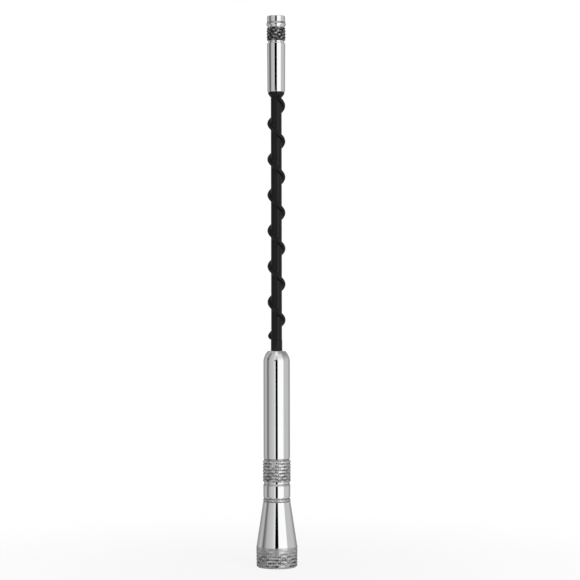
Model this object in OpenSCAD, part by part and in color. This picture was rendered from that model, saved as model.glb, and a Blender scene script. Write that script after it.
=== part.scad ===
// Short screw-on car mast aerial: chrome foot, chrome sleeve, black whip with a spiral ridge, chrome tip.
// The origin is the centre of the foot's underside and +Z runs up the mast.

/* [Foot] */
// Diameter over the knurled foot
foot_d = 14.95; // [13:0.05:18]
// Height of the knurled band round the foot
foot_band_h = 7.5; // [5:0.1:11]
// Chamfer round the underside of the foot
foot_chamfer = 0.5; // [0.1:0.05:0.8]
// Height of the conical flank
cone_h = 16.15; // [10:0.05:26]
// Height of each of the fine grooves under and over the bead
bead_groove_h = 0.3; // [0.2:0.05:0.5]
// Height of the bead between cone and ring
bead_h = 0.7; // [0.4:0.05:1.5]
// Diameter of the bead and of the top of the cone
bead_d = 9.95; // [9.8:0.05:12]
// Diameter at the bottom of the two fine grooves
bead_groove_d = 9.3; // [9.1:0.05:9.7]
// Height of the bevel at the lower end of the plain ring
ring_bevel_h = 0.5; // [0.2:0.05:1]
// Height of the plain ring, from its bevel to its shoulder
ring_h = 4.1; // [2:0.1:8]
// Diameter of the plain ring
ring_d = 9.85; // [9.6:0.05:12]
// Height of the sloping shoulder over the ring, which makes the dark parting line
neck_h = 0.75; // [0.4:0.05:2]
// How far the shoulder slopes in from the ring
neck_inset = 0.3; // [0.1:0.02:0.7]

/* [Stud hole in the foot] */
// Wall diameter of the tapped hole for the car's stud
stud_bore_d = 5.0; // [4:0.1:6]
// Depth of the tapped hole
stud_bore_h = 12.0; // [6:0.5:14]
// Lead-in chamfer at the mouth of the tapped hole
stud_lead = 0.6; // [0.2:0.1:1]

/* [Joint between foot and mast] */
// Height of the washer at the parting
washer_h = 0.7; // [0.3:0.1:1.5]
// Diameter of the washer at the parting
washer_d = 9.35; // [8.5:0.05:9.8]
// Diameter of the threaded spigot that screws into the foot
spigot_d = 6.0; // [5:0.1:7]
// Length of the spigot below the sleeve
spigot_h = 7.8; // [5:0.1:10]
// Chamfer at the end of each threaded spigot
spigot_chamfer = 0.5; // [0.2:0.1:0.8]
// Free depth of the socket below the spigot
socket_spare = 0.8; // [0.3:0.1:2]

/* [Sleeve] */
// Diameter over the knurled grip band
grip_d = 10.15; // [9.8:0.05:12]
// Height of the knurled grip band
grip_h = 7.65; // [5:0.05:14]
// Chamfer at each end of the grip band
grip_chamfer = 0.2; // [0.1:0.02:0.28]
// Height of the round groove over the grip band
grip_groove_h = 0.75; // [0.2:0.05:1]
// Depth of the round groove, from the sleeve's surface
grip_groove_depth = 0.2; // [0.05:0.01:0.3]
// Diameter of the polished sleeve
sleeve_d = 9.66; // [9:0.02:9.8]
// Height of the polished sleeve up to the shoulder
sleeve_h = 35.25; // [20:0.05:60]
// Height of the domed shoulder
dome_h = 3.8; // [2:0.1:4.5]
// Radius of the shoulder's arc
dome_arc_r = 6.4; // [5.5:0.1:8]
// Angle at which the shoulder leaves the sleeve
dome_lean = 4.6; // [0:0.2:10]
// Rounding between the shoulder and its flat top
dome_round = 0.45; // [0.2:0.05:0.7]
// Diameter of the sleeve's bore
sleeve_bore_d = 6.8; // [6:0.1:7.6]
// Height of the solid end of the sleeve, under the flat top
sleeve_end_h = 4.2; // [2:0.1:6]

/* [Whip] */
// Diameter of the black sheath
whip_d = 3.95; // [3.75:0.05:4.1]
// Visible length of the sheath, from the dome to the tip collar
whip_h = 92.2; // [40:0.1:160]
// Bore of the sheath
sheath_bore_d = 3.1; // [3.05:0.01:3.15]
// Diameter of the sheath where it is cut back to sit in the bush and the ferrule
whip_root_d = 3.6; // [3.4:0.05:3.7]
// Length of the sheath hidden in the sleeve
whip_root_h = 18.0; // [10:0.5:24]
// Length of the bare core below the sheath
core_root_h = 8.0; // [3:0.5:12]
// Diameter of the glass-fibre core
core_d = 2.1; // [1.6:0.05:2.1]
// Diameter of the copper wire
wire_d = 0.4; // [0.2:0.02:0.4]
// Rise of the wire in one turn
wire_pitch = 5.0; // [3:0.5:10]

/* [Spiral ridge] */
// Width of the ridge where its crown starts
ridge_w = 1.4; // [0.8:0.05:1.8]
// How far the ridge stands proud of the sheath
ridge_h = 1.3; // [0.8:0.05:1.6]
// Flare of the ridge's foot on each side
ridge_flare = 0.25; // [0:0.05:0.5]
// Rise of the ridge in one left-hand turn
ridge_pitch = 12.97; // [8:0.01:24]
// Height of the ridge's lower end over the dome
ridge_start = 4.8; // [4.8:0.1:12]
// Distance of the ridge's upper end below the tip collar
ridge_stop = 0.4; // [0.2:0.1:6]
// Direction that the ridge's upper end faces, round the mast from +X
ridge_face = -77; // [-180:1:180]

/* [Root bush] */
// Diameter of the bush that shows over the dome
bush_d = 4.15; // [4:0.05:4.6]
// Height of the bush over the dome
bush_h = 3.85; // [1:0.05:3.85]
// Diameter of the flange that holds the bush in the sleeve
bush_flange_d = 6.0; // [5:0.1:6.2]
// Height of the flange
bush_flange_h = 1.6; // [0.8:0.1:3]

/* [Tip] */
// Height of the collar's flare
collar_flare_h = 1.05; // [0.5:0.05:2]
// Height of the collar's plain rim
collar_rim_h = 0.7; // [0.4:0.05:2]
// Diameter of the collar's plain rim
collar_d = 5.9; // [5.4:0.05:6.6]
// Diameter of the collar where its flare starts
collar_low_d = 4.4; // [4.3:0.05:4.8]
// Diameter of the collar's plug inside the tip tube
plug_d = 5.2; // [4.8:0.1:5.4]
// Height of the collar's plug
plug_h = 5.0; // [3:0.1:7]
// Depth of the whip in the plug
plug_bore_h = 4.0; // [2:0.1:4]
// Height of the tip tube
tube_h = 17.75; // [15:0.05:30]
// Diameter of the tip tube at its lower end
tube_low_d = 6.42; // [6.2:0.02:7.4]
// Diameter of the tip tube at its upper end
tube_top_d = 6.66; // [6.5:0.02:7.6]
// Edge rounding of the tip tube and the tip cap
tip_edge = 0.15; // [0.05:0.05:0.3]
// Height of the ring under the cap
tip_ring_h = 0.85; // [0.4:0.05:1.5]
// Diameter of the ring under the cap
tip_ring_d = 5.9; // [5.6:0.02:6.6]
// Diameter of the cap's threaded spigot
tip_spigot_d = 4.0; // [3:0.1:4.4]
// Length of the cap's threaded spigot
tip_spigot_h = 6.0; // [4:0.1:7]
// Diameter over the cap's knurled band
cap_band_d = 6.9; // [6.6:0.05:7.4]
// Height of the cap's knurled band
cap_band_h = 4.9; // [3:0.05:8]
// Chamfer at each end of the cap's knurled band
cap_chamfer = 0.4; // [0.35:0.05:0.6]
// Height of the taper over the knurled band
cap_taper_h = 0.9; // [0.5:0.05:2]
// Diameter at the foot of the taper
cap_waist_d = 6.04; // [5.6:0.02:6.4]
// Height of the flared rim
cap_rim_h = 0.35; // [0.2:0.05:1.5]
// Diameter of the flared rim
cap_rim_d = 7.12; // [6.7:0.01:7.6]
// Height of the slope from the rim in to the plain end
cap_slope_h = 0.75; // [0.3:0.05:1.5]
// Height of the plain end
cap_end_h = 2.1; // [1:0.05:4]
// Diameter of the plain end
cap_end_d = 6.58; // [6:0.02:6.6]

/* [Knurl] */
// Rise from one rolled ring to the next, which is half the height of a diamond
knurl_pitch = 1.15; // [1.05:0.05:1.4]
// Width of a diamond of the knurl
knurl_w = 1.8; // [1.5:0.1:2.4]
// Depth of the grooves between the rings
knurl_depth = 0.24; // [0.15:0.01:0.3]
// Depth of the slanting grooves where they cross a ring
knurl_cross = 0.13; // [0.05:0.01:0.2]
// Share of the full ring that is rolled flat
knurl_flat = 0.3; // [0.1:0.05:0.5]

/* [Fits] */
// Radial clearance of the turned threads
thread_gap = 0.05; // [0.02:0.01:0.1]
// Radial clearance of the pieces pressed into each other
press_gap = 0.02; // [0.01:0.01:0.05]

/* [Hidden] */
$fn = 96;

// Heights over the underside of the foot
cone_z = foot_band_h;
groove_under_z = cone_z + cone_h;
bead_z = groove_under_z + bead_groove_h;
groove_over_z = bead_z + bead_h;
bevel_z = groove_over_z + bead_groove_h;
ring_z = bevel_z + ring_bevel_h;
neck_z = ring_z + ring_h;
washer_z = neck_z + neck_h;
grip_z = washer_z + washer_h;
groove_z = grip_z + grip_h;
sleeve_z = groove_z + grip_groove_h;
dome_z = sleeve_z + sleeve_h;
whip_z = dome_z + dome_h;
collar_z = whip_z + whip_h;
rim_z = collar_z + collar_flare_h;
tube_z = rim_z + collar_rim_h;
tip_ring_z = tube_z + tube_h;
cap_z = tip_ring_z + tip_ring_h;
taper_z = cap_z + cap_band_h;
cap_rim_z = taper_z + cap_taper_h;
cap_slope_z = cap_rim_z + cap_rim_h;
cap_end_z = cap_slope_z + cap_slope_h;
top_z = cap_end_z + cap_end_h;

// Inner heights
spigot_z = grip_z - spigot_h;
socket_z = spigot_z - socket_spare;
sleeve_end_z = whip_z - sleeve_end_h;
flange_z = sleeve_end_z - bush_flange_h;
sheath_z = whip_z - whip_root_h;
core_z = sheath_z - core_root_h;
whip_top_z = tube_z + plug_bore_h;
plug_z = tube_z + plug_h;
tip_spigot_z = cap_z - tip_spigot_h;
tip_socket_z = tip_spigot_z - socket_spare;

// A solid turned about the mast's axis from its half section
module turned(outline) {
    rotate_extrude() polygon(outline);
}

// A round hole on the mast's axis, from one height to another
module bored(d, low, high) {
    translate([0, 0, low]) cylinder(d = d, h = high - low);
}

// Radius of the knurl at step i round and row k up. Even rows are the bottoms of the ring grooves;
// on the odd rows every other step is notched by a slanting groove.
function knurl_r(i, k, crest, notch, root) = k % 2 == 0 ? root : i % 2 == 0 ? crest : notch;

// A round bar rolled with rings that two sets of slanting grooves cross lightly, which leaves flat diamonds.
// It reaches past the band at each end, where the band's outline cuts it off.
module knurl_bar(d, h) {
    around = 4 * round(PI * d / knurl_w);
    rings = floor(h / knurl_pitch);
    low = (h - rings * knurl_pitch) / 2 - knurl_pitch / 2;
    rows = 2 * rings + 2;
    root = d / 2 - knurl_depth;
    crest = root + knurl_depth / (1 - knurl_flat);
    surface = [for (k = [0 : rows], i = [0 : around - 1])
        let (r = knurl_r(i, k, crest, d / 2 - knurl_cross, root), a = 360 * i / around)
        [r * cos(a), r * sin(a), low + k * knurl_pitch / 2]];
    facets = [for (k = [0 : rows - 1], i = [0 : around - 1])
        let (j = (i + 1) % around, p = k * around + i, q = k * around + j, s = p + around, t = q + around)
        each (i + k) % 2 == 0 ? [[p, t, q], [p, s, t]] : [[p, s, q], [q, s, t]]];
    lower = [for (i = [0 : around - 1]) i];
    upper = [for (i = [around - 1 : -1 : 0]) rows * around + i];
    polyhedron(surface, concat(facets, [lower, upper]));
}

// A knurled band that stands on z = 0, with a chamfer at each end
module knurl_band(d, h, low_chamfer, high_chamfer) {
    intersection() {
        knurl_bar(d, h);
        turned([[0, 0], [d / 2 - low_chamfer, 0], [d / 2, low_chamfer],
                [d / 2, h - high_chamfer], [d / 2 - high_chamfer, h], [0, h]]);
    }
}

// Foot, turned from brass and chrome plated
module base_cone() {
    core = foot_d / 2 - 2 * knurl_depth;
    color("silver") difference() {
        union() {
            knurl_band(foot_d, foot_band_h, foot_chamfer, 0);
            turned([[0, 0], [core, 0], [core, cone_z], [foot_d / 2, cone_z],
                    [bead_d / 2, groove_under_z], [bead_groove_d / 2, groove_under_z + bead_groove_h / 2],
                    [bead_d / 2, bead_z], [bead_d / 2, groove_over_z],
                    [bead_groove_d / 2, groove_over_z + bead_groove_h / 3], [bead_groove_d / 2, bevel_z],
                    [ring_d / 2, ring_z], [ring_d / 2, neck_z],
                    [ring_d / 2 - neck_inset, washer_z], [0, washer_z]]);
        }
        bored(stud_bore_d, -1, stud_bore_h);
        turned([[0, -1], [stud_bore_d / 2 + stud_lead + 1, -1], [stud_bore_d / 2, stud_lead],
                [0, stud_lead]]);
        bored(spigot_d + 2 * thread_gap, socket_z, washer_z + 1);
    }
}

// Loose washer at the parting between foot and mast
module seam_washer() {
    color("gainsboro") difference() {
        bored(washer_d, washer_z, grip_z);
        bored(spigot_d + 2 * thread_gap, washer_z - 1, grip_z + 1);
    }
}

// Brass ferrule pressed into the sleeve, with the threaded spigot below and a cup for the whip above
module rod_ferrule() {
    body_r = sleeve_bore_d / 2 - press_gap;
    color("goldenrod") difference() {
        turned([[0, spigot_z], [spigot_d / 2 - spigot_chamfer, spigot_z],
                [spigot_d / 2, spigot_z + spigot_chamfer], [spigot_d / 2, grip_z],
                [body_r, grip_z], [body_r, flange_z], [0, flange_z]]);
        bored(sheath_bore_d, core_z, flange_z + 1);
        bored(whip_root_d + 2 * press_gap, sheath_z, flange_z + 1);
    }
}

// Section of the domed shoulder: a leaning arc, a small rounding and the flat top
function dome_side() =
    let (cr = sleeve_d / 2 - dome_arc_r * cos(dome_lean), cz = -dome_arc_r * sin(dome_lean),
         inner = dome_arc_r - dome_round, rz = dome_h - dome_round - cz,
         rr = sqrt(inner * inner - rz * rz), turn = atan2(rz, rr))
    concat(
        [for (k = [0 : 16]) let (a = dome_lean + (turn - dome_lean) * k / 16)
            [cr + dome_arc_r * cos(a), dome_z + cz + dome_arc_r * sin(a)]],
        [for (k = [1 : 6]) let (a = turn + (90 - turn) * k / 6)
            [cr + rr + dome_round * cos(a), whip_z - dome_round + dome_round * sin(a)]]);

// Sleeve, turned from brass and chrome plated, with its knurled grip band
module mast_sleeve() {
    core = grip_d / 2 - 2 * knurl_depth;
    steps = 6;
    groove = [for (k = [0 : steps]) let (a = 180 * k / steps)
        [sleeve_d / 2 - grip_groove_depth * sin(a), groove_z + grip_groove_h * (1 - cos(a)) / 2]];
    color("silver") difference() {
        union() {
            translate([0, 0, grip_z]) knurl_band(grip_d, grip_h, grip_chamfer, grip_chamfer);
            turned(concat([[0, grip_z], [core, grip_z], [core, groove_z]], groove,
                          dome_side(), [[0, whip_z]]));
        }
        bored(sleeve_bore_d, grip_z - 1, sleeve_end_z);
        bored(bush_d + 2 * press_gap, sleeve_end_z - 1, whip_z + 1);
    }
}

// Glass-fibre core of the whip
module core_rod() {
    color("wheat") bored(core_d, core_z, whip_top_z);
}

// Points of one ring of a tube that winds about the mast: section turned to follow the winding
function wound_ring(section, radius, rise, a, z) =
    let (flat = 2 * PI * radius, run = sqrt(flat * flat + rise * rise), c = flat / run, s = rise / run)
    [for (p = section)
        [(radius + p[1]) * cos(a) + p[0] * s * sin(a),
         (radius + p[1]) * sin(a) - p[0] * s * cos(a),
         z + p[0] * c]];

// Faces of a tube of rings with the same number of points, closed at both ends
function tube_faces(rings, sides) = concat(
    [for (k = [0 : rings - 2], i = [0 : sides - 1])
        let (j = (i + 1) % sides, p = k * sides + i, q = k * sides + j)
        each [[p, p + sides, q], [q, p + sides, q + sides]]],
    [[for (i = [0 : sides - 1]) i], [for (i = [sides - 1 : -1 : 0]) (rings - 1) * sides + i]]);

// Copper winding round the core
module aerial_wire() {
    sides = 4;
    steps = 10;
    r = (core_d / 2 + wire_d / 2) / cos(180 / steps) + press_gap / 4;
    turns = floor((whip_top_z - core_z - wire_d * 2) / wire_pitch);
    section = [for (i = [0 : sides - 1]) let (a = 360 * i / sides) wire_d / 2 * [cos(a), sin(a)]];
    rings = [for (k = [0 : turns * steps])
        wound_ring(section, r, wire_pitch, 360 * k / steps, core_z + wire_d + k * wire_pitch / steps)];
    color("peru") polyhedron([for (ring = rings) each ring], tube_faces(len(rings), sides));
}

// Section of the spiral ridge: a round crown on flaring flanks that sink into the sheath
function ridge_section(size, sink) =
    let (crown = ridge_w / 2, low = -sink, mid = ridge_h - crown)
    concat([[crown + ridge_flare, low]], [[crown + ridge_flare * 0.3, 0.28 * ridge_h * size]],
           [for (k = [0 : 6]) let (a = 180 * k / 6) [crown * cos(a), (mid + crown * sin(a)) * size]],
           [[-crown - ridge_flare * 0.3, 0.28 * ridge_h * size]], [[-crown - ridge_flare, low]]);

// Black sheath with its left-hand spiral ridge, moulded in one
module mast_sheath() {
    steps = 24;
    sink = 0.4;
    fade = 15;
    low_z = whip_z + ridge_start;
    high_z = collar_z - ridge_stop;
    sweep = 360 * (high_z - low_z) / ridge_pitch;
    count = ceil(sweep * steps / 360);
    rings = [for (k = [0 : count])
        let (down = sweep * k / count, size = min(1, down / fade + 0.12, (sweep - down) / fade + 0.12))
        wound_ring(ridge_section(size, sink), whip_d / 2, -ridge_pitch,
                   ridge_face + down, high_z - down * ridge_pitch / 360)];
    color([0.1, 0.1, 0.11]) difference() {
        union() {
            bored(whip_root_d, sheath_z, whip_top_z);
            bored(whip_d, whip_z + bush_h + press_gap, whip_top_z);
            polyhedron([for (ring = rings) each ring], tube_faces(len(rings), len(rings[0])));
        }
        bored(sheath_bore_d, sheath_z - 1, whip_top_z + 1);
    }
}

// Black bush that closes the mouth of the sleeve round the whip
module root_bush() {
    color([0.08, 0.08, 0.09]) difference() {
        union() {
            bored(bush_flange_d, flange_z, sleeve_end_z);
            bored(bush_d, flange_z, whip_z + bush_h);
        }
        bored(whip_root_d + 2 * press_gap, flange_z - 1, whip_z + bush_h + 1);
    }
}

// Black collar with the plug that holds the tip on the whip
module tip_collar() {
    color([0.08, 0.08, 0.09]) difference() {
        turned([[0, collar_z], [collar_low_d / 2, collar_z], [collar_d / 2, rim_z],
                [collar_d / 2, tube_z], [plug_d / 2, tube_z], [plug_d / 2, plug_z], [0, plug_z]]);
        bored(whip_d + 2 * press_gap, collar_z - 1, whip_top_z);
    }
}

// Chrome tube of the tip, open below for the plug and tapped above for the cap
module tip_ferrule() {
    color("silver") difference() {
        turned([[0, tube_z], [tube_low_d / 2 - tip_edge, tube_z], [tube_low_d / 2, tube_z + tip_edge],
                [tube_top_d / 2, tip_ring_z - tip_edge], [tube_top_d / 2 - tip_edge, tip_ring_z],
                [0, tip_ring_z]]);
        bored(plug_d + 2 * press_gap, tube_z - 1, plug_z);
        bored(tip_spigot_d + 2 * thread_gap, tip_socket_z, tip_ring_z + 1);
    }
}

// Thin ring between the tip tube and its cap
module tip_washer() {
    color("gainsboro") difference() {
        bored(tip_ring_d, tip_ring_z, cap_z);
        bored(tip_spigot_d + 2 * thread_gap, tip_ring_z - 1, cap_z + 1);
    }
}

// Knurled cap with its flared rim, plain end and threaded spigot, turned in one
module tip_cap() {
    core = cap_waist_d / 2 - knurl_depth;
    color("silver") {
        translate([0, 0, cap_z]) knurl_band(cap_band_d, cap_band_h, cap_chamfer, cap_chamfer);
        turned([[0, tip_spigot_z], [tip_spigot_d / 2 - spigot_chamfer, tip_spigot_z],
                [tip_spigot_d / 2, tip_spigot_z + spigot_chamfer], [tip_spigot_d / 2, cap_z],
                [core, cap_z], [core, taper_z], [cap_waist_d / 2, taper_z],
                [cap_rim_d / 2, cap_rim_z], [cap_rim_d / 2, cap_slope_z], [cap_end_d / 2, cap_end_z],
                [cap_end_d / 2, top_z - tip_edge], [cap_end_d / 2 - tip_edge, top_z], [0, top_z]]);
    }
}

base_cone();
seam_washer();
rod_ferrule();
mast_sleeve();
core_rod();
aerial_wire();
mast_sheath();
root_bush();
tip_collar();
tip_ferrule();
tip_washer();
tip_cap();
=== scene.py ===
"""Looks of a short screw-on car mast aerial, dressed piece by piece from the foot up to the tip."""
import math
import bmesh
import bpy
import numpy as np
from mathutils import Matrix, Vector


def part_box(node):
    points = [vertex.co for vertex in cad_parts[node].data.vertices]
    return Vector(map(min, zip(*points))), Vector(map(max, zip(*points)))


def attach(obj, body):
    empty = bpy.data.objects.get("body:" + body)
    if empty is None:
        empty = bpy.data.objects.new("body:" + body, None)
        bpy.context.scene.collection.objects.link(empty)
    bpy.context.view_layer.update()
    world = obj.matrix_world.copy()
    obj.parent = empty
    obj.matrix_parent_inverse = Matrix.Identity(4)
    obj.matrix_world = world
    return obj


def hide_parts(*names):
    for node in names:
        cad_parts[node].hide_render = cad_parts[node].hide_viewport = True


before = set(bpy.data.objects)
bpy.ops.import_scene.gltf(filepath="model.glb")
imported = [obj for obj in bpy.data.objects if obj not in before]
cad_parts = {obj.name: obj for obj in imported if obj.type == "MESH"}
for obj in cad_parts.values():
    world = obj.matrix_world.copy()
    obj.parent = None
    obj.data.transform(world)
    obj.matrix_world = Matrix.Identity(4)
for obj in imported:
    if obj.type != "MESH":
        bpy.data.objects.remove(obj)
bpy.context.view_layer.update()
mm = 0.001

# Foot. One bar of brass turned to a long cone, rolled with a diamond knurl round its lower end,
# tapped M6 from below and chrome plated. The mast screws into the socket in its top.
_, foot_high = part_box("base_cone")
foot_r = foot_high.x
foot_chamfer = 0.5 * mm
knurled_h = 7.5 * mm
cone_h = 16.15 * mm
cone_round = 1.2 * mm
bead_r = 4.975 * mm
bead_h = 0.7 * mm
bead_edge = 0.12 * mm
bead_groove_r = 4.65 * mm
bead_groove_h = 0.3 * mm
bead_groove_edge = 0.04 * mm
ring_r = 4.925 * mm
ring_bevel_h = 0.5 * mm
ring_bevel_round = 0.4 * mm
ring_h = 4.1 * mm
ring_edge = 0.2 * mm
neck_r = 4.625 * mm
socket_r = 3.05 * mm
socket_spare = 0.8 * mm
socket_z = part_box("rod_ferrule")[0].z - socket_spare
stud_bore_r = 2.5 * mm
stud_bore_h = 12.0 * mm
stud_bore_round = 0.1 * mm
stud_thread_depth = 0.5 * mm
stud_thread_pitch = 1.0 * mm
stud_lead = 0.6 * mm
plain_edge = 0.1 * mm
fine_edge = 0.05 * mm

# Tolerances that tell a point on one stretch of a section from its neighbours.
hair = 0.001 * mm
slack = 0.01 * mm

# Knurls. A ring's groove is knurl_depth deep, a slanting groove knurl_cross, and slant_reach is the share of
# a diamond over which a slanting groove fades. Each wave of the rolling is (count round the bar, phase,
# radians a metre up the bar, phase), and the slanting wave is (count, radians a metre, height).
knurl_pitch = 1.15 * mm
knurl_step = knurl_pitch / 10
knurl_w = 1.8 * mm
knurl_depth = 0.24 * mm
knurl_reach = 3 * knurl_depth
knurl_cross = 0.13 * mm
ring_power = 1.6
# The power below sets how tightly the painted shade in a ring's groove gathers towards its bottom.
groove_shade_power = 3
slant_reach = 0.2
rolling_waves = ((5, 1, 5200, 0), (9, 0, 3700, 1), (14, 2, 2600, 2))
slanting_wave = (6, -900, 0.5)
rolling_share = 0.35
foot_runout = 4.2 * mm

# Darker tone of the foot's bead, painted shade in its grooves and on the shoulder, and the slanting marks
# milled round the bead, with painted sheen on their ridges and painted shade in their cuts.
foot_dark_tone = 0.3
mark_sheen_and_shade = 0.2
bead_marks = 20
mark_depth = 0.03 * mm
mark_reach = 0.1 * mm

# Threads. How far the zigzag of a thread reaches past its flat crest and past its flat root.
crest_flat = 0.15
root_flat = 0.2


def rounded(corners, steps=4, guard=0.03 * mm):
    """Half section with its corners rounded. Each corner is (r, z, radius) and its arc touches both sides.
    The arc starts radius x tan(turn / 2) from the corner, and its centre lies radius / cos(turn / 2) from it
    on the line that halves the corner. A guard point on each side keeps the shading of the flats true."""
    at = np.array([(r, z) for r, z, _ in corners], float)
    points = []
    for k, (_, _, radius) in enumerate(corners):
        if radius == 0 or k in (0, len(corners) - 1):
            points.append(at[k])
            continue
        back, on = at[k - 1] - at[k], at[k + 1] - at[k]
        back, on = back / np.linalg.norm(back), on / np.linalg.norm(on)
        turn = math.pi - math.acos(float(np.clip(back @ on, -1, 1)))
        cut = radius * math.tan(turn / 2)
        centre = at[k] + (back + on) / np.linalg.norm(back + on) * radius / math.cos(turn / 2)
        start, end = at[k] + back * cut - centre, at[k] + on * cut - centre
        share = np.linspace(0, 1, steps + 1)[:, None]
        arc = (np.sin((1 - share) * turn) * start + np.sin(share * turn) * end) / math.sin(turn)
        points += [at[k] + back * (cut + guard), *(centre + arc), at[k] + on * (cut + guard)]
    return np.array(points)


def filled(section, low, high, step):
    """The section with points every step on its stretches between the heights low and high."""
    points = [section[0]]
    for a, b in zip(section[:-1], section[1:]):
        inside = min(a[1], b[1]) > low - hair and max(a[1], b[1]) < high + hair
        parts = max(1, round(abs(b[1] - a[1]) / step)) if inside else 1
        points += [a + (b - a) * k / parts for k in range(1, parts + 1)]
    return np.array(points)


def shell(name, points, faces, groove=None):
    """Smooth mesh object from points and from arrays of corner numbers, with a groove value a point."""
    mesh = bpy.data.meshes.new(name)
    corners = np.concatenate([f.ravel() for f in faces]).astype(np.int32)
    sizes = np.concatenate([np.full(len(f), f.shape[1]) for f in faces])
    mesh.vertices.add(len(points))
    mesh.vertices.foreach_set("co", points.astype(np.float32).ravel())
    mesh.loops.add(len(corners))
    mesh.loops.foreach_set("vertex_index", corners)
    mesh.polygons.add(len(sizes))
    starts = np.concatenate([[0], np.cumsum(sizes)[:-1]]).astype(np.int32)
    mesh.polygons.foreach_set("loop_start", starts)
    mesh.polygons.foreach_set("use_smooth", np.ones(len(sizes), bool))
    mesh.update(calc_edges=True)
    if groove is not None:
        mesh.attributes.new("groove", "FLOAT", "POINT")
        mesh.attributes["groove"].data.foreach_set("value", groove.astype(np.float32).ravel())
    piece = bpy.data.objects.new(name, mesh)
    bpy.context.scene.collection.objects.link(piece)
    return piece


def turned(name, section, around, relief=None, tube=False):
    """Surface of revolution of a half section that runs up the outside. Point (i, j) lies at angle
    2 pi i / around and at the section's point j; relief(angle, r, z) gives the new r and the groove value.
    A tube's section closes on itself, and any other starts and ends on the axis."""
    angle = 2 * math.pi * np.arange(around)[:, None] / around
    r, z = (np.repeat(section[None, :, c], around, 0) for c in (0, 1))
    groove = np.zeros_like(r)
    if relief:
        r, groove = relief(angle, r, z)
    points = np.stack([r * np.cos(angle), r * np.sin(angle), z], -1)
    count = section.shape[0]
    i = np.arange(around)[:, None]
    j = np.arange(count if tube else count - 1)[None, :]
    up, over = (j + 1) % count, (i + 1) % around
    quads = np.stack([i * count + j, over * count + j, over * count + up, i * count + up], -1)
    piece = shell(name, points.reshape(-1, 3), [quads.reshape(-1, 4)], groove)
    if not tube:
        close_poles(piece)
    return piece


def close_poles(piece):
    """Merges points that fall together, as at the ends of the axis, and drops what that leaves flat."""
    work = bmesh.new()
    work.from_mesh(piece.data)
    bmesh.ops.remove_doubles(work, verts=work.verts, dist=0.2 * hair)
    work.to_mesh(piece.data)
    work.free()


def rolling(angle, z):
    """Sum of waves round and up a bar that makes its rolling uneven, from -3.5 to 3.5. Each of the
    rolling_waves is a sine round the bar times a sine up it, and the slanting wave is added to them."""
    count, climb, height = slanting_wave
    waves = height * np.sin(count * angle + climb * z)
    for count, start, climb, lift in rolling_waves:
        waves = waves + np.sin(count * angle + start) * np.sin(climb * z + lift)
    return waves


def knurled_band(low, high, crest, fade_high=0.0, cross=knurl_cross, slant_shade=0.6, band_darkening=(0.0, 0.0),
                 blotch=0.0):
    """Relief of rolled rings that two sets of slanting grooves cross lightly. away is 0 on a ring's crest and
    1 midway to the next, and a ring's groove deepens with away to the power ring_power, so crests are round
    and grooves sharp. u counts diamonds round the bar and v up it, two rings to a diamond; a slanting groove
    lies where u + v or u - v is whole. The rolling waves make both a little uneven, and the relief fades out
    over fade_high under the band's top. The tone darkens from the first of the darkening pair below to the
    second above, blotch lets it wander with the same waves, and the grooves get painted shade over it, the
    slanting ones by their own share."""
    rings = math.floor((high - low) / knurl_pitch)
    first = low + (high - low - rings * knurl_pitch) / 2
    diamonds = round(2 * math.pi * crest / knurl_w)

    def relief(angle, r, z):
        from_crest = (z - first) / knurl_pitch
        away = 2 * abs(from_crest - np.round(from_crest))
        u, v = angle * diamonds / (2 * math.pi), from_crest / 2 + 0.25
        nearest = np.minimum(abs(u + v - np.round(u + v)), abs(u - v - np.round(u - v)))
        slant = np.clip(1 - nearest / slant_reach, 0, 1)
        share = np.clip((high - z) / fade_high, 0, 1) if fade_high else 1.0
        waves = rolling(angle, z)
        uneven = 1 + rolling_share * waves
        depth = share * np.maximum(knurl_depth * away ** ring_power, cross * slant * uneven)
        above = np.clip((z - low) / (high - low), 0, 1)
        grey = np.clip(band_darkening[0] + (band_darkening[1] - band_darkening[0]) * above + blotch * waves, 0, 1)
        # Painted shade in the ring grooves and the slanting grooves, laid over the band's darker tone.
        groove_shading = np.maximum(away ** groove_shade_power, slant * slant_shade) * share * uneven
        dark = np.clip(grey + (1 - grey) * groove_shading, 0, 1)
        inside = (z > low + hair) & (z < high + hair) & (r > crest - knurl_reach)
        return np.where(inside, np.minimum(r, crest - depth), r), np.where(inside, dark, 0)
    return relief


def thread_depth(angle, z, pitch):
    """Share of a right-hand 60 degree thread's depth at a point: 0 on the crest's flat, 1 in the root. It is
    a zigzag of z / pitch - angle / 2 pi, made higher by both flats and then cut off at 0 and 1."""
    phase = (z / pitch - angle / (2 * math.pi)) % 1
    zigzag = 1 - 2 * abs(phase - 0.5)
    return np.clip(zigzag * (1 + crest_flat + root_flat) - crest_flat, 0, 1)


foot_band = knurled_band(0.0, knurled_h, foot_r, fade_high=foot_runout, slant_shade=0.65, band_darkening=(0.18, 0.32),
                         blotch=0.06)


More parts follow.
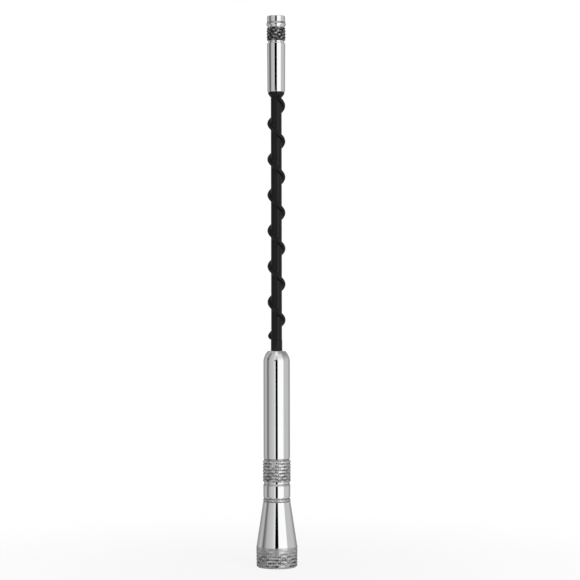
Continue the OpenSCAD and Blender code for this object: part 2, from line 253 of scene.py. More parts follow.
def foot_relief(angle, r, z):
    """Knurl round the lower end with painted shade in its grooves, painted shade in the grooves beside the
    bead and on the shoulder, slanting milled marks round the bead, which has a darker tone, with painted
    sheen on their ridges and painted shade in their cuts, and the M6 thread in the hole for the car's stud,
    which runs out over a pitch at the hole's end."""
    cut, groove = foot_band(angle, r, z)
    in_hole = (abs(r - stud_bore_r) < hair) & (z > stud_lead) & (z < stud_bore_h - slack)
    ending = np.clip((stud_bore_h - 2 * stud_bore_round - z) / stud_thread_pitch, 0, 1)
    depth = stud_thread_depth * thread_depth(angle, z, stud_thread_pitch) * ending
    outside = r > bead_groove_r - slack
    beside_bead = ((z > under_z) & (z < bead_z)) | ((z > over_z) & (z < bevel_z))
    hollow = np.clip((bead_r - r) / (bead_r - bead_groove_r), 0, 1)
    # Painted shade in the grooves beside the bead, darker where they are deeper.
    groove = np.where(outside & beside_bead, foot_dark_tone + foot_dark_tone * hollow, groove)
    on_bead = outside & (z >= bead_z - slack) & (z <= over_z + slack)
    marks = np.sin(bead_marks * angle + math.pi * (z - bead_z) / bead_h)
    cut = np.where(on_bead & (r > bead_r - mark_reach), cut - mark_depth * (1 - marks), cut)
    # Painted sheen on the ridges of the bead's milled marks and painted shade in their cuts.
    groove = np.where(on_bead, foot_dark_tone - mark_sheen_and_shade * marks, groove)
    # Painted shade on the shoulder under the parting.
    on_shoulder = (z > neck_z) & (z < seam_z - slack) & (r > neck_r)
    groove = np.where(on_shoulder, foot_dark_tone, groove)
    return np.where(in_hole, stud_bore_r + depth, cut), groove


# The foot's heights from its cone's top up, and its section: the hole first, then the outside and the socket.
under_z = knurled_h + cone_h
bead_z = under_z + bead_groove_h
over_z = bead_z + bead_h
bevel_z = over_z + bead_groove_h
ring_z = bevel_z + ring_bevel_h
neck_z = ring_z + ring_h
seam_z = foot_high.z
hole_side = rounded([
    (0, stud_bore_h, 0), (stud_bore_r, stud_bore_h, stud_bore_round), (stud_bore_r, stud_lead, 0)])
outer_side = rounded([
    (stud_bore_r, stud_lead, 0), (stud_bore_r + stud_lead, 0, fine_edge),
    (foot_r - foot_chamfer, 0, plain_edge), (foot_r, foot_chamfer, plain_edge),
    (foot_r, knurled_h, cone_round), (bead_r, under_z, fine_edge),
    (bead_groove_r, under_z + bead_groove_h / 2, fine_edge), (bead_r, bead_z, bead_edge),
    (bead_r, over_z, bead_edge), (bead_groove_r, over_z + bead_groove_h / 3, bead_groove_edge),
    (bead_groove_r, bevel_z, bead_groove_edge), (ring_r, ring_z, ring_bevel_round),
    (ring_r, neck_z, ring_edge), (neck_r, seam_z, fine_edge), (socket_r, seam_z, plain_edge),
    (socket_r, socket_z, 0), (0, socket_z, 0)])
foot_section = np.concatenate([
    filled(hole_side, stud_lead, stud_bore_h, stud_thread_pitch / 6),
    filled(outer_side, foot_chamfer, knurled_h, knurl_step)[1:]])
foot = turned("foot_body", foot_section, around=416, relief=foot_relief)


def new_finish(name):
    """New material, with its node tree and its surface shader."""
    material = bpy.data.materials.new(name)
    material.use_nodes = True
    return material, material.node_tree, material.node_tree.nodes["Principled BSDF"]


def noise(tree, scale=1.0, detail=2.0, squeeze=None):
    """Noise over the piece's own coordinates, which squeeze first multiplies along x, y and z."""
    place = tree.nodes.new("ShaderNodeTexCoord").outputs["Object"]
    if squeeze:
        mapping = tree.nodes.new("ShaderNodeMapping")
        mapping.inputs["Scale"].default_value = squeeze
        tree.links.new(place, mapping.inputs["Vector"])
        place = mapping.outputs["Vector"]
    cloud = tree.nodes.new("ShaderNodeTexNoise")
    cloud.inputs["Scale"].default_value = scale
    cloud.inputs["Detail"].default_value = detail
    tree.links.new(place, cloud.inputs["Vector"])
    return cloud.outputs["Fac"]


def two_tones(tree, value, low, high):
    """Colour that runs from one stop to another, each (place, colour), as the value grows."""
    ramp = tree.nodes.new("ShaderNodeValToRGB")
    for mark, (place, colour) in zip(ramp.color_ramp.elements, (low, high)):
        mark.position = place
        mark.color = (*colour, 1)
    tree.links.new(value, ramp.inputs["Fac"])
    return ramp.outputs["Color"]


def spread(tree, value, low, high):
    """Number that runs from low to high as the value goes from 0 to 1."""
    scaled = tree.nodes.new("ShaderNodeMapRange")
    scaled.inputs["To Min"].default_value = low
    scaled.inputs["To Max"].default_value = high
    tree.links.new(value, scaled.inputs["Value"])
    return scaled.outputs["Result"]


def grain_surface(tree, shader, value, strength, distance):
    """Bump of the shader's surface that follows the value."""
    bump = tree.nodes.new("ShaderNodeBump")
    bump.inputs["Strength"].default_value = strength
    bump.inputs["Distance"].default_value = distance
    tree.links.new(value, bump.inputs["Height"])
    tree.links.new(bump.outputs["Normal"], shader.inputs["Normal"])


def chrome_finish(name, tone=0.9, groove_shade_tone=0.06, rough=0.035, haze=0.32):
    """Bright chrome: a mirror metal whose roughness and tone wander slightly, with fine turning marks round
    the axis and painted shade in the grooves, where the metal is also rougher by haze."""
    material, tree, metal = new_finish(name)
    metal.inputs["Metallic"].default_value = 1.0
    cloud = noise(tree, scale=140.0, detail=3.0)
    worn = (tone * 0.965, tone * 0.968, tone * 0.975)
    clean = (tone, tone, tone * 1.005)
    groove = tree.nodes.new("ShaderNodeAttribute")
    groove.attribute_name = "groove"
    # Painted shade: the groove value mixes the metal's colour towards the dark groove tone.
    groove_shading = tree.nodes.new("ShaderNodeMix")
    groove_shading.data_type = "RGBA"
    groove_shading.inputs["B"].default_value = (groove_shade_tone, groove_shade_tone, groove_shade_tone * 1.01, 1)
    tree.links.new(groove.outputs["Fac"], groove_shading.inputs["Factor"])
    tree.links.new(two_tones(tree, cloud, (0.3, worn), (0.7, clean)), groove_shading.inputs["A"])
    tree.links.new(groove_shading.outputs["Result"], metal.inputs["Base Color"])
    rougher = tree.nodes.new("ShaderNodeMath")
    rougher.operation = "MULTIPLY_ADD"
    rougher.inputs[1].default_value = haze
    tree.links.new(groove.outputs["Fac"], rougher.inputs[0])
    tree.links.new(spread(tree, cloud, rough * 0.7, rough * 1.4), rougher.inputs[2])
    tree.links.new(rougher.outputs["Value"], metal.inputs["Roughness"])
    turning_marks = noise(tree, squeeze=(60, 60, 9000))
    grain_surface(tree, metal, turning_marks, strength=0.06, distance=0.02 * mm)
    return material


def dress(piece, finish, body, slot, *nodes):
    """Gives a piece its finish and body, and lets it stand for CAD nodes. slot is not used."""
    piece.data.materials.clear()
    piece.data.materials.append(finish)
    if nodes:
        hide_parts(*nodes)
    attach(piece, body)


bright_chrome = chrome_finish("bright_chrome")
dress(foot, chrome_finish("foot_chrome", groove_shade_tone=0.09, haze=1.0), "foot", "chrome", "base_cone")

# Washer at the parting. A thin ring, turned from steel and plated, that lies loose round the spigot; the mast
# presses it on the foot.
washer_low, washer_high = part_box("seam_washer")
washer_edge = 0.08 * mm


def flat_ring(name, hole_r, low, high):
    """Flat ring that fills the box from low to high, with a round hole and both outer edges rounded."""
    section = rounded([
        (hole_r, low.z, 0), (high.x, low.z, washer_edge), (high.x, high.z, washer_edge), (hole_r, high.z, 0),
        (hole_r, low.z, 0)])
    return turned(name, section[:-1], around=192, tube=True)


washer = flat_ring("parting_washer", socket_r, washer_low, washer_high)
plated_steel = chrome_finish("plated_steel", tone=0.85, rough=0.09)
dress(washer, plated_steel, "seam", "bright_steel", "seam_washer")

# Ferrule. Bare brass, pressed into the sleeve: its lower end is the M6 spigot that screws into the foot,
# and its upper end is the cup that holds the whip.
ferrule_low, ferrule_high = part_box("rod_ferrule")
ferrule_r = ferrule_high.x
spigot_r = 3.0 * mm
spigot_root = 2.45 * mm
spigot_pitch = 1.0 * mm
spigot_chamfer = 0.5 * mm
spigot_run_out = 0.3 * mm
# Painted shade in a thread's root, as a share of the darkest groove tone.
thread_root_shade = 0.8
thread_edge = 0.03 * mm
grip_low_z = washer_high.z
core_low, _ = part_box("core_rod")
sheath_low, sheath_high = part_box("mast_sheath")
core_bore_r = 1.55 * mm
cup_r = 1.82 * mm


def spigot_thread(angle, r, z):
    """Right-hand thread cut from the spigot's crest down to its root, up to just under the ferrule's body,
    with painted shade that grows towards the root.
    """
    depth = thread_depth(angle, z, spigot_pitch)
    inside = (z < grip_low_z - spigot_run_out) & (r > spigot_root) & (z > ferrule_low.z + hair)
    cut = np.minimum(r, spigot_r - (spigot_r - spigot_root) * depth)
    return np.where(inside, cut, r), np.where(inside, depth * thread_root_shade, 0)


ferrule_section = rounded([
    (0, ferrule_low.z, 0), (spigot_r - spigot_chamfer, ferrule_low.z, thread_edge),
    (spigot_r, ferrule_low.z + spigot_chamfer, thread_edge), (spigot_r, grip_low_z, 0),
    (ferrule_r, grip_low_z, plain_edge), (ferrule_r, ferrule_high.z, plain_edge),
    (cup_r, ferrule_high.z, plain_edge), (cup_r, sheath_low.z, 0), (core_bore_r, sheath_low.z, 0),
    (core_bore_r, core_low.z, 0), (0, core_low.z, 0)])
ferrule_section = filled(ferrule_section, ferrule_low.z, grip_low_z, spigot_pitch / 9)
ferrule = turned("whip_ferrule", ferrule_section, around=144, relief=spigot_thread)


def brass_finish(name, colour, rough):
    """Bare turned metal: warm, with fine turning marks and a duller, browner tone in patches."""
    material, tree, metal = new_finish(name)
    metal.inputs["Metallic"].default_value = 1.0
    patches = noise(tree, scale=260.0, detail=4.0)
    brown = (colour[0] * 0.8, colour[1] * 0.74, colour[2] * 0.66)
    tree.links.new(two_tones(tree, patches, (0.25, brown), (0.75, colour)), metal.inputs["Base Color"])
    tree.links.new(spread(tree, patches, rough * 1.3, rough * 0.7), metal.inputs["Roughness"])
    turning_marks = noise(tree, squeeze=(40, 40, 12000))
    grain_surface(tree, metal, turning_marks, strength=0.25, distance=0.02 * mm)
    return material


bare_brass = brass_finish("turned_brass", colour=(0.78, 0.6, 0.3), rough=0.2)
dress(ferrule, bare_brass, "mast", "brass", "rod_ferrule")

# Sleeve. Turned brass, chrome plated and polished, with a knurled grip for the fingers at its lower end
# and a domed shoulder with a small flat top, where the whip comes out.
sleeve_low, sleeve_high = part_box("mast_sleeve")
grip_r = sleeve_high.x
grip_h = 7.65 * mm
grip_chamfer = 0.2 * mm
grip_groove_h = 0.75 * mm
grip_groove_depth = 0.2 * mm
sleeve_r = 4.83 * mm
sleeve_bore_r = 3.4 * mm
dome_h = 3.8 * mm
dome_arc_r = 6.4 * mm
dome_lean = math.radians(4.6)
dome_round = 0.45 * mm
# Painted shade at the bottom of the round groove over the grip.
grip_groove_shade = 0.6
bush_low, bush_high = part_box("root_bush")
bush_r = 2.075 * mm
mouth_r = 2.095 * mm
flange_r = bush_high.x
flange_h = 1.6 * mm
grip_high_z = sleeve_low.z + grip_h
sleeve_z = grip_high_z + grip_groove_h
dome_z = sleeve_high.z - dome_h
sleeve_end_z = bush_low.z + flange_h


def dome_side():
    """Shoulder's section: an arc that leans away from the sleeve's wall, then a small arc that meets the flat
    top. The small arc's centre lies dome_arc_r - dome_round from the large one's."""
    centre_r = sleeve_r - dome_arc_r * math.cos(dome_lean)
    centre_z = dome_z - dome_arc_r * math.sin(dome_lean)
    small_z = sleeve_high.z - dome_round
    across = math.sqrt((dome_arc_r - dome_round) ** 2 - (small_z - centre_z) ** 2)
    meet = math.atan2(small_z - centre_z, across)
    wide = np.linspace(dome_lean, meet, 24)
    tight = np.linspace(meet, math.pi / 2, 8)[1:]
    return np.concatenate([
        np.stack([centre_r + dome_arc_r * np.cos(wide), centre_z + dome_arc_r * np.sin(wide)], -1),
        np.stack([centre_r + across + dome_round * np.cos(tight), small_z + dome_round * np.sin(tight)], -1)])


grip_band = knurled_band(sleeve_low.z, grip_high_z, grip_r, cross=0.1 * mm, slant_shade=0.45, band_darkening=(0.4, 0.0),
                         blotch=0.14)


def grip_relief(angle, r, z):
    """Knurl of the grip with painted shade in its grooves, and painted shade in the round groove over it,
    darkest at its bottom.
    """
    cut, groove = grip_band(angle, r, z)
    over = (z > grip_high_z) & (z < sleeve_z) & (r > sleeve_bore_r + mm)
    hollow = np.clip((sleeve_r - r) / grip_groove_depth, 0, 1)
    return cut, np.where(over, hollow * grip_groove_shade, groove)


# The sleeve's section, from its bore outwards and up. Points a little inside the plain wall's ends and the
# flat top keep their shading true.
wall_guard_low = 0.05 * mm
wall_guard_high = 0.02 * mm
mouth_guard = 0.3 * mm
mouth_edge = 0.06 * mm
groove_arc = np.linspace(0, math.pi, 9)
groove_side = np.stack([sleeve_r - grip_groove_depth * np.sin(groove_arc),
                        grip_high_z + grip_groove_h * (1 - np.cos(groove_arc)) / 2], -1)
lower_side = rounded([
    (sleeve_bore_r, sleeve_low.z, 0), (grip_r - grip_chamfer, sleeve_low.z, fine_edge),
    (grip_r, sleeve_low.z + grip_chamfer, fine_edge), (grip_r, grip_high_z - grip_chamfer, fine_edge),
    (grip_r - grip_chamfer, grip_high_z - slack, 0)], steps=3)
wall_side = np.array([(sleeve_r, sleeve_z + wall_guard_low), (sleeve_r, dome_z - wall_guard_high)])
upper_side = rounded([
    (mouth_r + mouth_guard, sleeve_high.z, 0), (mouth_r, sleeve_high.z, mouth_edge),
    (mouth_r, sleeve_end_z, 0), (sleeve_bore_r, sleeve_end_z, 0)])
sleeve_section = np.concatenate([
    filled(lower_side, sleeve_low.z, grip_high_z, knurl_step), groove_side, wall_side, dome_side(),
    upper_side])
sleeve = turned("chrome_sleeve", sleeve_section, around=432, relief=grip_relief, tube=True)
dress(sleeve, bright_chrome, "mast", "chrome", "mast_sleeve")

# Whip. A pultruded glass-fibre core, wound with bare copper wire that is the radiator, inside a black
# plastic sheath moulded with a round left-hand spiral ridge that stops it whistling in the wind.
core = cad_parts["core_rod"]
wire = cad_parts["aerial_wire"]
sheath_r = 1.975 * mm
sheath_root_r = 1.8 * mm
sheath_bore_r = 1.55 * mm
ridge_w = 1.4 * mm
ridge_h = 1.3 * mm
ridge_fillet = 0.5 * mm
ridge_pitch = 12.97 * mm
ridge_start = 4.8 * mm
ridge_stop = 0.4 * mm
ridge_low_z = sleeve_high.z + ridge_start
collar_low, collar_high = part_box("tip_collar")
ridge_high_z = collar_low.z - ridge_stop
ridge_face = math.radians(-77)
ridge_fade = math.radians(15)


def ridge_side():
    """Section of the ridge and of the bare sheath beside it, at one angle: rise along the mast against height
    over the sheath. A half ellipse makes the crown, straight flanks and quarter-ellipse fillets its foot."""
    lean = math.cos(math.atan2(ridge_pitch, 2 * math.pi * (sheath_r + ridge_h / 2)))
    half, fillet = ridge_w / 2 / lean, ridge_fillet / lean
    foot_arc = np.linspace(0, math.pi / 2, 6)
    crown_arc = np.linspace(0, math.pi / 2, 9)
    bare = np.linspace(-ridge_pitch / 2, -(half + fillet), 8)[:-1]
    rise = np.concatenate([bare, -(half + fillet) + fillet * np.sin(foot_arc), -half * np.cos(crown_arc)])
    height = np.concatenate([bare * 0, ridge_fillet * (1 - np.cos(foot_arc)),
                             ridge_h - ridge_w / 2 * (1 - np.sin(crown_arc))])
    return (np.concatenate([rise, -rise[-2::-1]]), np.concatenate([height, height[-2::-1]]))


def ridged_sheath(name, per_turn=72):
    """Surface swept along the left-hand spiral. At angle a the section's middle stands at
    ridge_high_z - ridge_pitch (a - ridge_face) / 2 pi, each turn's strip meets the next one's edge, and the
    ridge's height fades to nothing over ridge_fade at both ends. Heights are held between the bush's top and
    the sheath's upper end; under the bush's top the sheath goes on as a thinner plain tube."""
    rise, height = ridge_side()
    sweep = 2 * math.pi * (ridge_high_z - ridge_low_z) / ridge_pitch
    before = math.ceil((sheath_high.z - ridge_high_z) / ridge_pitch + 1) * per_turn
    after = math.ceil((ridge_high_z - bush_high.z) / ridge_pitch + 1) * per_turn
    down = (2 * math.pi * np.arange(-before, after + 1) / per_turn)[:, None]
    size = np.clip(np.minimum(down, sweep - down) / ridge_fade, 0, 1)
    size = np.sin(size * math.pi / 2)
    angle = ridge_face + down
    r = sheath_r + size * height[None, :]
    z = ridge_high_z - ridge_pitch * down / (2 * math.pi) + rise[None, :]
    z = np.clip(z, bush_high.z, sheath_high.z)
    points = np.stack([r * np.cos(angle), r * np.sin(angle), z], -1)
    count = len(rise)
    i, j = np.arange(len(down) - 1)[:, None], np.arange(count - 1)[None, :]
    quads = np.stack([i * count + j, (i + 1) * count + j, (i + 1) * count + j + 1, i * count + j + 1], -1)
    quads = quads.reshape(-1, 4)
    heights = z.reshape(-1)[quads]
    quads = quads[heights.max(1) - heights.min(1) > 0.001 * hair]
    ends = np.array([(sheath_r, sheath_high.z), (sheath_bore_r, sheath_high.z),
                     (sheath_bore_r, sheath_low.z), (sheath_root_r, sheath_low.z),
                     (sheath_root_r, bush_high.z), (sheath_r, bush_high.z)])
    turn = (ridge_face + 2 * math.pi * np.arange(per_turn) / per_turn)[:, None]
    inner = np.stack([ends[:, 0] * np.cos(turn), ends[:, 0] * np.sin(turn), ends[:, 1] + turn * 0], -1)
    last = len(ends)
    i, j = np.arange(per_turn)[:, None], np.arange(last - 1)[None, :]
    over = (i + 1) % per_turn
    inside = np.stack([i * last + j, over * last + j, over * last + j + 1, i * last + j + 1], -1)
    inside = inside.reshape(-1, 4)
    everything = np.concatenate([points.reshape(-1, 3), inner.reshape(-1, 3)])
    piece = shell(name, everything, [quads, inside + points.shape[0] * count])
    close_poles(piece)
    return piece


def black_finish(name, tone, rough, grain, specular):
    """Black moulded plastic or rubber: near black, with a fine moulded grain and roughness that wanders."""
    material, tree, plastic = new_finish(name)
    plastic.inputs["Specular IOR Level"].default_value = specular
    cloud = noise(tree, scale=380.0, detail=4.0)
    dark = (tone * 0.8, tone * 0.8, tone * 0.82)
    light = (tone * 1.25, tone * 1.25, tone * 1.3)
    tree.links.new(two_tones(tree, cloud, (0.3, dark), (0.72, light)), plastic.inputs["Base Color"])
    tree.links.new(spread(tree, cloud, rough * 0.85, rough * 1.15), plastic.inputs["Roughness"])
    pores = noise(tree, scale=5200.0)
    grain_surface(tree, plastic, pores, strength=grain, distance=0.03 * mm)
    return material


def fibre_finish(name):
    """Pultruded glass fibre: pale resin with long straight fibres along the rod."""
    material, tree, resin = new_finish(name)
    resin.inputs["Roughness"].default_value = 0.35
    fibres = noise(tree, squeeze=(9000, 9000, 90))
    shade, pale = (0.5, 0.45, 0.3), (0.86, 0.82, 0.68)
    tree.links.new(two_tones(tree, fibres, (0, shade), (1, pale)), resin.inputs["Base Color"])
    grain_surface(tree, resin, fibres, strength=0.3, distance=0.02 * mm)
    return material


sheath = ridged_sheath("whip_sheath")
black_plastic = black_finish("black_sheath", tone=0.0042, rough=0.32, grain=0.1, specular=0.3)
dress(sheath, black_plastic, "mast", "black_sheath", "mast_sheath")
glass_fibre = fibre_finish("glass_fibre")
copper = brass_finish("drawn_copper", colour=(0.86, 0.45, 0.26), rough=0.25)
for inner, finish in ((core, glass_fibre), (wire, copper)):
    inner.data.materials.clear()
    inner.data.materials.append(finish)

# Root bush. A black rubber bush in the mouth of the sleeve, whose inner flange keeps it from coming out;
# it makes the slightly thicker root of the whip over the dome.
flange_edge = 0.15 * mm
black_rubber = black_finish("black_rubber", tone=0.004, rough=0.32, grain=0.06, specular=0.33)
bush_section = rounded([
    (cup_r, bush_low.z, 0), (flange_r, bush_low.z, flange_edge), (flange_r, sleeve_end_z, flange_edge),
    (bush_r, sleeve_end_z, 0), (bush_r, bush_high.z, plain_edge), (cup_r, bush_high.z, 0),
    (cup_r, bush_low.z, 0)])
bush = turned("root_bush_skin", bush_section[:-1], around=144, tube=True)
dress(bush, black_rubber, "mast", "black_rubber", "root_bush")

# Tip collar. Moulded black rubber, flared from the whip to a short rim, with a plug that is glued into the
# tip tube.
tube_low, tube_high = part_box("tip_ferrule")
collar_r = collar_high.x
collar_low_r = 2.2 * mm
whip_hole_r = 1.995 * mm
collar_flare_h = 1.05 * mm
plug_r = 2.6 * mm
collar_low_edge = 0.06 * mm
collar_flare_edge = 0.25 * mm
collar_rim_edge = 0.12 * mm
plug_edge = 0.2 * mm
collar_section = rounded([
    (whip_hole_r, collar_low.z, 0), (collar_low_r, collar_low.z, collar_low_edge),
    (collar_r, collar_low.z + collar_flare_h, collar_flare_edge), (collar_r, tube_low.z, collar_rim_edge),
    (plug_r, tube_low.z, 0), (plug_r, collar_high.z, plug_edge), (0, collar_high.z, 0)])
collar = turned("tip_collar_skin", collar_section, around=144)
dress(collar, black_rubber, "mast", "black_rubber", "tip_collar")

# Tip tube. Turned and chrome plated, very slightly wider at its top, open below for the plug and tapped
# above for the cap.
tube_low_r = 3.21 * mm
tube_top_r = tube_high.x
tip_edge = 0.15 * mm
plug_bore_r = 2.62 * mm
plug_top_z = collar_high.z
tip_bore_r = 2.05 * mm
tip_bore_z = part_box("tip_cap")[0].z - socket_spare
tube_section = rounded([
    (0, plug_top_z, 0), (plug_bore_r, plug_top_z, 0), (plug_bore_r, tube_low.z, fine_edge),
    (tube_low_r, tube_low.z, tip_edge), (tube_top_r, tube_high.z, tip_edge),
    (tip_bore_r, tube_high.z, plain_edge), (tip_bore_r, tip_bore_z, 0), (0, tip_bore_z, 0)])
tube = turned("tip_tube", tube_section, around=192)
dress(tube, bright_chrome, "mast", "chrome", "tip_ferrule")

# Ring under the cap. A thin plated steel ring, turned like the washer at the parting, that lies loose round
# the cap's spigot and closes the gap between tip tube and cap.
tip_ring_low, tip_ring_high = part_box("tip_washer")
tip_ring = flat_ring("tip_ring", tip_bore_r, tip_ring_low, tip_ring_high)
dress(tip_ring, plated_steel, "tip_seam", "bright_steel", "tip_washer")

# Cap. Turned in one with its M4 spigot: a knurled band for the fingers, a taper out to a flared rim and a
# plain end. Its knurl is deeper set, with the whole band darker and painted shade in its grooves, so it looks
# almost black.
cap_low, cap_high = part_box("tip_cap")
cap_band_r = 3.45 * mm
cap_band_h = 4.9 * mm
cap_chamfer = 0.4 * mm
cap_waist_r = 3.0 * mm
cap_taper_h = 0.9 * mm
cap_rim_h = 0.35 * mm
cap_slope_h = 0.75 * mm
cap_rim_r = cap_high.x
cap_end_r = 3.29 * mm
cap_spigot_r = 2.0 * mm
cap_spigot_root = 1.6 * mm
cap_spigot_pitch = 0.7 * mm
cap_run_out = 0.2 * mm
cap_slope_darkening = 0.45
cap_rim_edge = 0.06 * mm
band_z = tip_ring_high.z
taper_z = band_z + cap_band_h
rim_z = taper_z + cap_taper_h
slope_z = rim_z + cap_rim_h
end_z = slope_z + cap_slope_h
cap_band = knurled_band(band_z, taper_z, cap_band_r, cross=0.17 * mm, slant_shade=0.8, band_darkening=(0.8, 0.74),
                        blotch=0.2)


def cap_relief(angle, r, z):
    """Knurl on the band with painted shade in its grooves, darker and rougher metal on the slope over the
    rim, and the fine thread on the spigot with painted shade in its roots.
    """
    cut, groove = cap_band(angle, r, z)
    groove = np.where((z > slope_z) & (z < end_z) & (r > cap_end_r), cap_slope_darkening, groove)
    depth = thread_depth(angle, z, cap_spigot_pitch)
    inside = (z < band_z - cap_run_out) & (r > cap_spigot_root) & (z > cap_low.z + hair)
    threaded = np.minimum(cut, cap_spigot_r - (cap_spigot_r - cap_spigot_root) * depth)
    return np.where(inside, threaded, cut), np.where(inside, depth * thread_root_shade, groove)


cap_section = rounded([
    (0, cap_low.z, 0), (cap_spigot_r - spigot_chamfer, cap_low.z, thread_edge),
    (cap_spigot_r, cap_low.z + spigot_chamfer, thread_edge), (cap_spigot_r, band_z, 0),
    (cap_band_r - cap_chamfer, band_z, thread_edge), (cap_band_r, band_z + cap_chamfer, fine_edge),
    (cap_band_r, taper_z - cap_chamfer, fine_edge), (cap_waist_r, taper_z, thread_edge),
    (cap_rim_r, rim_z, cap_rim_edge), (cap_rim_r, slope_z, cap_rim_edge), (cap_end_r, end_z, fine_edge),
    (cap_end_r, cap_high.z, tip_edge), (0, cap_high.z, 0)], steps=3)
cap_section = filled(cap_section, cap_low.z, band_z - slack, cap_spigot_pitch / 8)
cap_section = filled(cap_section, band_z, taper_z, knurl_step)
cap = turned("knurled_cap", cap_section, around=256, relief=cap_relief)
dress(cap, chrome_finish("cap_chrome", groove_shade_tone=0.02, haze=0.25), "tip", "chrome", "tip_cap")

# Studio. A pale round floor that fades out before its edge, white behind the object for the camera, and a
# room of plain cards that light the object: grey walls, white at the camera's right and straight behind the
# object, a ceiling with a bright patch in front, and a black strip behind the camera.
scene = bpy.context.scene
scene.view_settings.view_transform = "Standard"

# Tones of the cards, as (azimuth in degrees, tone), with 0 towards the camera and 90 at its right. The black
# strip's shares go across as (azimuth, share) and up as (elevation, share), and each pair of elevations says
# where one card fades into the next.
walls = (
    (-180, 0.9), (-167, 0.9), (-161, 0.31), (-150, 0.31), (-125, 0.39), (-109, 0.55), (-95, 0.43),
    (-86, 0.13), (-78, 0.2), (-72, 0.31), (-62, 0.49), (-53, 0.53), (-43, 0.56), (-34, 0.6), (-25, 0.63),
    (-17, 0.8), (-10, 0.85), (8, 0.9), (9, 1.1), (60, 1.1), (64, 0.58), (110, 0.58), (121, 0.48),
    (129, 0.39), (140, 0.31), (161, 0.31), (167, 0.9), (180, 0.9))
upper_walls = (
    (-180, 0.9), (-167, 0.9), (-161, 0.33), (-135, 0.32), (-109, 0.5), (-95, 0.43), (-86, 0.13),
    (-78, 0.2), (-72, 0.31), (-62, 0.49), (-43, 0.56), (-25, 0.63), (-17, 0.8), (8, 0.8), (56, 0.76),
    (64, 0.5), (75, 0.4), (81, 0.3), (86, 0.36), (100, 0.3), (112, 0.23), (137, 0.36), (161, 0.33),
    (167, 0.9), (180, 0.9))
ceiling = (
    (-180, 0.34), (-135, 0.32), (-98, 0.46), (-30, 0.5), (-18, 0.9), (-10, 0.95), (14, 0.95), (24, 0.55),
    (60, 0.4), (100, 0.3), (137, 0.36), (180, 0.34))
strip_across = ((-180, 0), (-10.3, 0), (-8.8, 1), (8.8, 1), (10.3, 0), (180, 0))
strip_up = ((-90, 1), (11.5, 1), (13.5, 0.6), (21, 0.5), (34, 0.3), (46, 0), (90, 0))
upper_walls_from = (math.radians(8), math.radians(38))
ceiling_from = (math.radians(49), math.radians(57))
ground_from = (math.radians(58), math.radians(66))
ground = (0.5, 0.5, 0.5, 1)
black = (0.0, 0.0, 0.0, 1)
white = (1, 1, 1, 1)


def value_ramp(nodes, stops, low, high):
    """Ramp of grey values between two ends of a range, from (place, value) stops."""
    ramp = nodes.new("ShaderNodeValToRGB")
    marks = ramp.color_ramp.elements
    marks.remove(marks[1])
    for k, (place, value) in enumerate(stops):
        mark = marks[0] if k == 0 else marks.new((place - low) / (high - low))
        mark.color = (value, value, value, 1)
    return ramp


def studio_world():
    """World whose brightness follows the cards: the azimuth is atan2(x, -y) and the elevation asin(z) of the
    direction. The camera sees plain white at strength 1."""
    world = bpy.data.worlds.new("studio")
    world.use_nodes = True
    nodes, links = world.node_tree.nodes, world.node_tree.links
    nodes.clear()

    def math_node(operation, *inputs):
        """One step of arithmetic, on plain numbers and on other nodes' values."""
        node = nodes.new("ShaderNodeMath")
        node.operation = operation
        for k, value in enumerate(inputs):
            if isinstance(value, float):
                node.inputs[k].default_value = value
            else:
                links.new(value, node.inputs[k])
        return node.outputs[0]

    def blend(share, under, over):
        """Colour under x (1 - share) + over x share."""
        node = nodes.new("ShaderNodeMix")
        node.data_type = "RGBA"
        for socket, value in (("Factor", share), ("A", under), ("B", over)):
            if isinstance(value, tuple):
                node.inputs[socket].default_value = value
            else:
                links.new(value, node.inputs[socket])
        return node.outputs["Result"]

    def step_up(value, low, high):
        """Smooth step from 0 at low to 1 at high."""
        node = nodes.new("ShaderNodeMapRange")
        node.interpolation_type = "SMOOTHSTEP"
        node.inputs["From Min"].default_value = low
        node.inputs["From Max"].default_value = high
        links.new(value, node.inputs["Value"])
        return node.outputs["Result"]

    place = nodes.new("ShaderNodeTexCoord")
    axes = nodes.new("ShaderNodeSeparateXYZ")
    links.new(place.outputs["Generated"], axes.inputs[0])
    azimuth = math_node("ARCTAN2", axes.outputs["X"], math_node("MULTIPLY", axes.outputs["Y"], -1.0))
    across = math_node("MULTIPLY_ADD", azimuth, 0.5 / math.pi, 0.5)
    elevation = math_node("ARCSINE", axes.outputs["Z"])
    up = math_node("MULTIPLY_ADD", elevation, 1 / math.pi, 0.5)
    cards = []
    for stops in (walls, upper_walls, ceiling, strip_across):
        ramp = value_ramp(nodes, stops, -180, 180)
        links.new(across, ramp.inputs["Fac"])
        cards.append(ramp.outputs["Color"])
    wall_tone, upper_tone, ceiling_tone, strip_share = cards
    fading = value_ramp(nodes, strip_up, -90, 90)
    links.new(up, fading.inputs["Fac"])
    room = blend(step_up(elevation, *upper_walls_from), wall_tone, upper_tone)
    room = blend(step_up(elevation, *ceiling_from), room, ceiling_tone)
    room = blend(step_up(math_node("MULTIPLY", elevation, -1.0), *ground_from), room, ground)
    strip = math_node("MULTIPLY", strip_share, fading.outputs["Color"])
    room = blend(strip, room, black)
    rays = nodes.new("ShaderNodeLightPath")
    light = nodes.new("ShaderNodeBackground")
    links.new(blend(rays.outputs["Is Camera Ray"], room, white), light.inputs["Color"])
    out = nodes.new("ShaderNodeOutputWorld")
    links.new(light.outputs[0], out.inputs["Surface"])
    return world


scene.world = studio_world()

floor_r = 0.3
floor_sides = 96
floor_fades_from = 0.02
floor_fades_to = 0.18
floor_own_white = 0.87


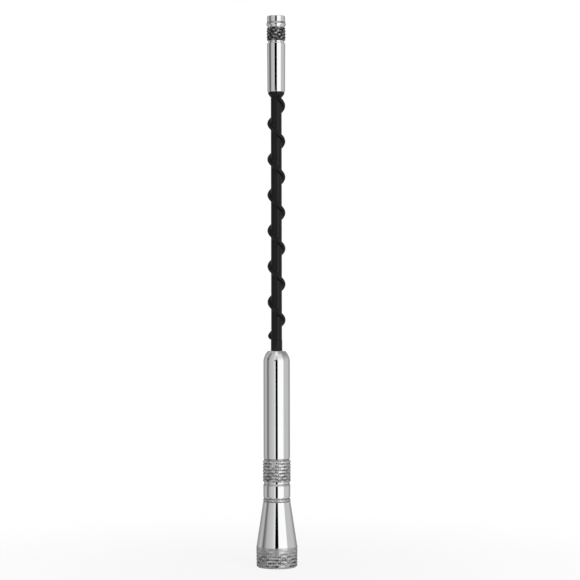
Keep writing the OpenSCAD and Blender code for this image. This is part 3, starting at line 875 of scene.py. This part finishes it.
def studio_floor():
    """Round floor under the foot. The camera sees mostly its own white, with a soft shadow in the rest. The
    floor grows clear towards its edge, and is clear from below, so that the foot's hole shows."""
    angle = 2 * math.pi * np.arange(floor_sides) / floor_sides
    points = np.stack([floor_r * np.cos(angle), floor_r * np.sin(angle), 0 * angle], -1)
    piece = shell("floor", points, [np.arange(floor_sides)[None, :]])
    material = bpy.data.materials.new("pale_floor")
    material.use_nodes = True
    nodes, links = material.node_tree.nodes, material.node_tree.links
    paper = nodes["Principled BSDF"]
    paper.inputs["Base Color"].default_value = (0.8, 0.8, 0.8, 1)
    paper.inputs["Roughness"].default_value = 0.9
    own_white = nodes.new("ShaderNodeEmission")
    rays = nodes.new("ShaderNodeLightPath")
    place = nodes.new("ShaderNodeTexCoord")
    length = nodes.new("ShaderNodeVectorMath")
    length.operation = "LENGTH"
    links.new(place.outputs["Object"], length.inputs[0])
    edge = nodes.new("ShaderNodeMapRange")
    edge.interpolation_type = "SMOOTHSTEP"
    edge.inputs["From Min"].default_value = floor_fades_from
    edge.inputs["From Max"].default_value = floor_fades_to
    links.new(length.outputs["Value"], edge.inputs["Value"])
    share = nodes.new("ShaderNodeMath")
    share.operation = "MULTIPLY"
    share.inputs[1].default_value = floor_own_white
    links.new(rays.outputs["Is Camera Ray"], share.inputs[0])
    seen = nodes.new("ShaderNodeMixShader")
    links.new(share.outputs[0], seen.inputs["Fac"])
    links.new(paper.outputs[0], seen.inputs[1])
    links.new(own_white.outputs[0], seen.inputs[2])
    clear = nodes.new("ShaderNodeBsdfTransparent")
    side = nodes.new("ShaderNodeNewGeometry")
    open_share = nodes.new("ShaderNodeMath")
    open_share.operation = "MAXIMUM"
    links.new(edge.outputs["Result"], open_share.inputs[0])
    links.new(side.outputs["Backfacing"], open_share.inputs[1])
    fade = nodes.new("ShaderNodeMixShader")
    links.new(open_share.outputs[0], fade.inputs["Fac"])
    links.new(seen.outputs[0], fade.inputs[1])
    links.new(clear.outputs[0], fade.inputs[2])
    links.new(fade.outputs[0], nodes["Material Output"].inputs["Surface"])
    piece.data.materials.append(material)
    piece.visible_glossy = False


studio_floor()

# Cards for the tip. A black one over the camera widens and shifts the dark strip on the tip, and a dark grey
# one on the left makes the tip's left line as dark as it is on a narrow tube.
black_card_corners = ((-0.276, -0.75, 0.239), (0.132, -0.75, 0.309))
grey_card_corners = ((-0.6, -0.2, 0.225), (-0.6, 0.09, 0.288))


def tip_card(name, corners, tone):
    """Upright card that only reflections show, between a low and a high corner, with its own even tone."""
    (x0, y0, z0), (x1, y1, z1) = corners
    piece = shell(name, np.array([(x0, y0, z0), (x1, y1, z0), (x1, y1, z1), (x0, y0, z1)]),
                  [np.arange(4)[None, :]])
    material = bpy.data.materials.new(name)
    material.use_nodes = True
    nodes, links = material.node_tree.nodes, material.node_tree.links
    glow = nodes.new("ShaderNodeEmission")
    glow.inputs["Color"].default_value = (tone, tone, tone, 1)
    links.new(glow.outputs[0], nodes["Material Output"].inputs["Surface"])
    piece.data.materials.append(material)
    piece.visible_camera = False
    piece.visible_diffuse = False
    piece.visible_shadow = False


tip_card("black_card", black_card_corners, tone=0.0)
tip_card("grey_card", grey_card_corners, tone=0.12)

# Softbox. One large soft lamp at the camera's right, a little over the object and turned down to it, gives
# the black parts their gentle light side.
lamp_data = bpy.data.lights.new("softbox", "AREA")
lamp_data.shape = "RECTANGLE"
lamp_data.size = 0.5
lamp_data.size_y = 0.7
lamp_data.energy = 1.6
lamp = bpy.data.objects.new("softbox", lamp_data)
scene.collection.objects.link(lamp)
lamp.location = (0.45, -0.6, 0.4)
lamp.rotation_euler = (math.radians(68), 0, math.radians(37))
lamp.visible_glossy = False

# Camera. Level, at half the aerial's height and a little right of the mast, with a long lens; it is rolled
# a trace because the mast leans that much in the picture.
camera_side = 4.9 * mm
camera_back = 691 * mm
camera_h = 100.5 * mm
camera_roll = math.radians(0.09)
camera_data = bpy.data.cameras.new("camera")
camera_data.lens = 118.0
camera_data.sensor_width = 36.0
camera = bpy.data.objects.new("camera", camera_data)
scene.collection.objects.link(camera)
camera.location = (camera_side, -camera_back, camera_h)
camera.rotation_euler = (math.pi / 2, camera_roll, 0)
scene.camera = camera
